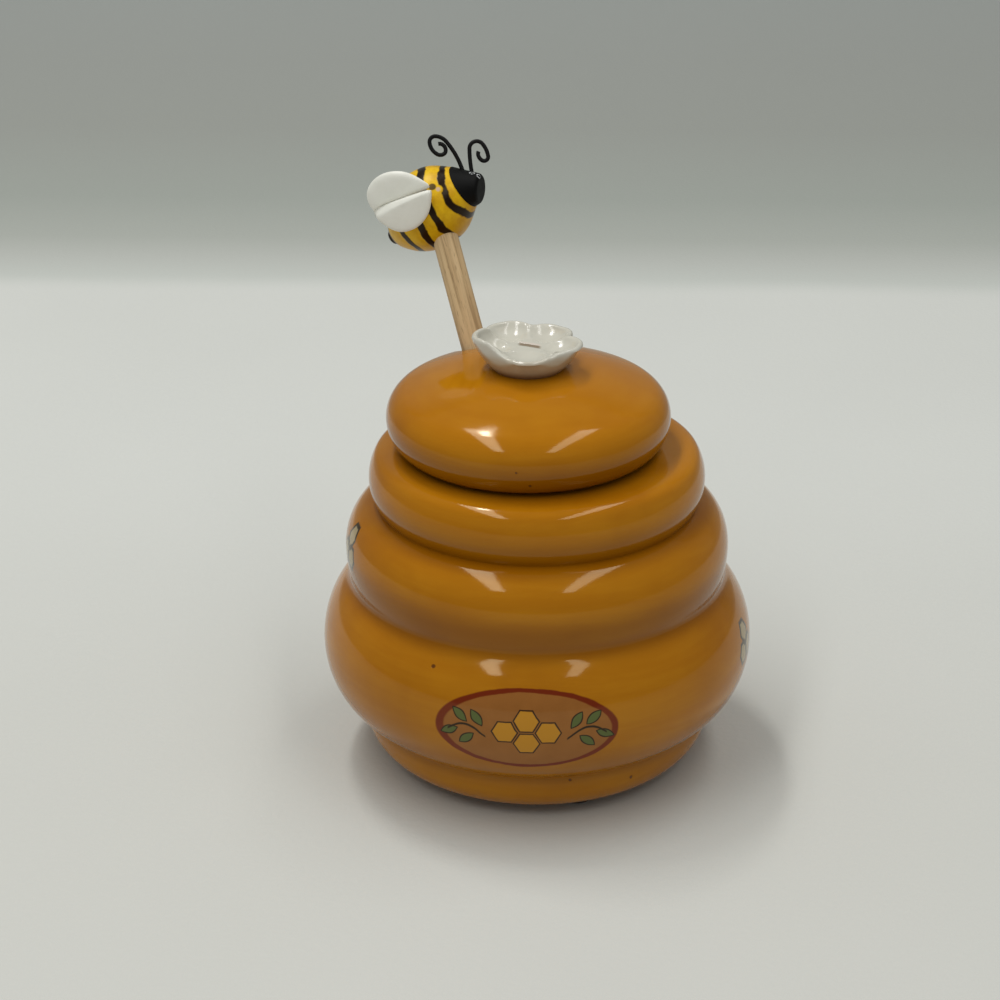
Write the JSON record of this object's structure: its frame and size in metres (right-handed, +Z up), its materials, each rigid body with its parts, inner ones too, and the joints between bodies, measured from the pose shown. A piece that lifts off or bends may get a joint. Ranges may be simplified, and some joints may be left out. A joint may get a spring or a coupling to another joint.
{
  "type": "honey pot with lid and dipper",
  "caption": "Glazed hive-shaped honey pot of stacked rings with a lift-off domed lid, a flower knob and a wooden dipper topped by a bee.",
  "frame": {"origin": "on the pot's vertical axis, at the level of the surface it stands on", "axes": "+Z up, -Y towards the label at the front, +X to the right as seen from the front"},
  "size_m": [0.105, 0.105, 0.1442],
  "materials": {
    "amber_glaze": "gloss",
    "white_glaze": "gloss",
    "wood": "matte",
    "bee_paint": "satin",
    "black_paint": "matte",
    "white_paint": "satin",
    "black_wire": "satin",
    "pad_rubber": "matte"
  },
  "bodies": {
    "pot": {"pot_body": "amber_glaze", "foot_pad_1": "pad_rubber", "foot_pad_2": "pad_rubber", "foot_pad_3": "pad_rubber", "foot_pad_4": "pad_rubber"},
    "lid": {"lid": "amber_glaze", "flower_knob": "white_glaze"},
    "dipper": {"dipper_stick": "wood", "dipper_head": "wood", "bee_body": "bee_paint", "bee_head": "black_paint", "bee_wing_left": "white_paint", "bee_wing_right": "white_paint", "bee_antenna_left": "black_wire", "bee_antenna_right": "black_wire"}
  },
  "joints": [
    {"name": "lid_lift", "type": "slide", "parent": "pot", "child": "lid", "axis": [0, 0, 1], "range_m": [0, 0.065]},
    {"name": "dipper_lift", "type": "slide", "parent": "pot", "child": "dipper", "axis": [-0.2703, 0.3932, 0.8788], "range_m": [0, 0.038]}
  ]
}
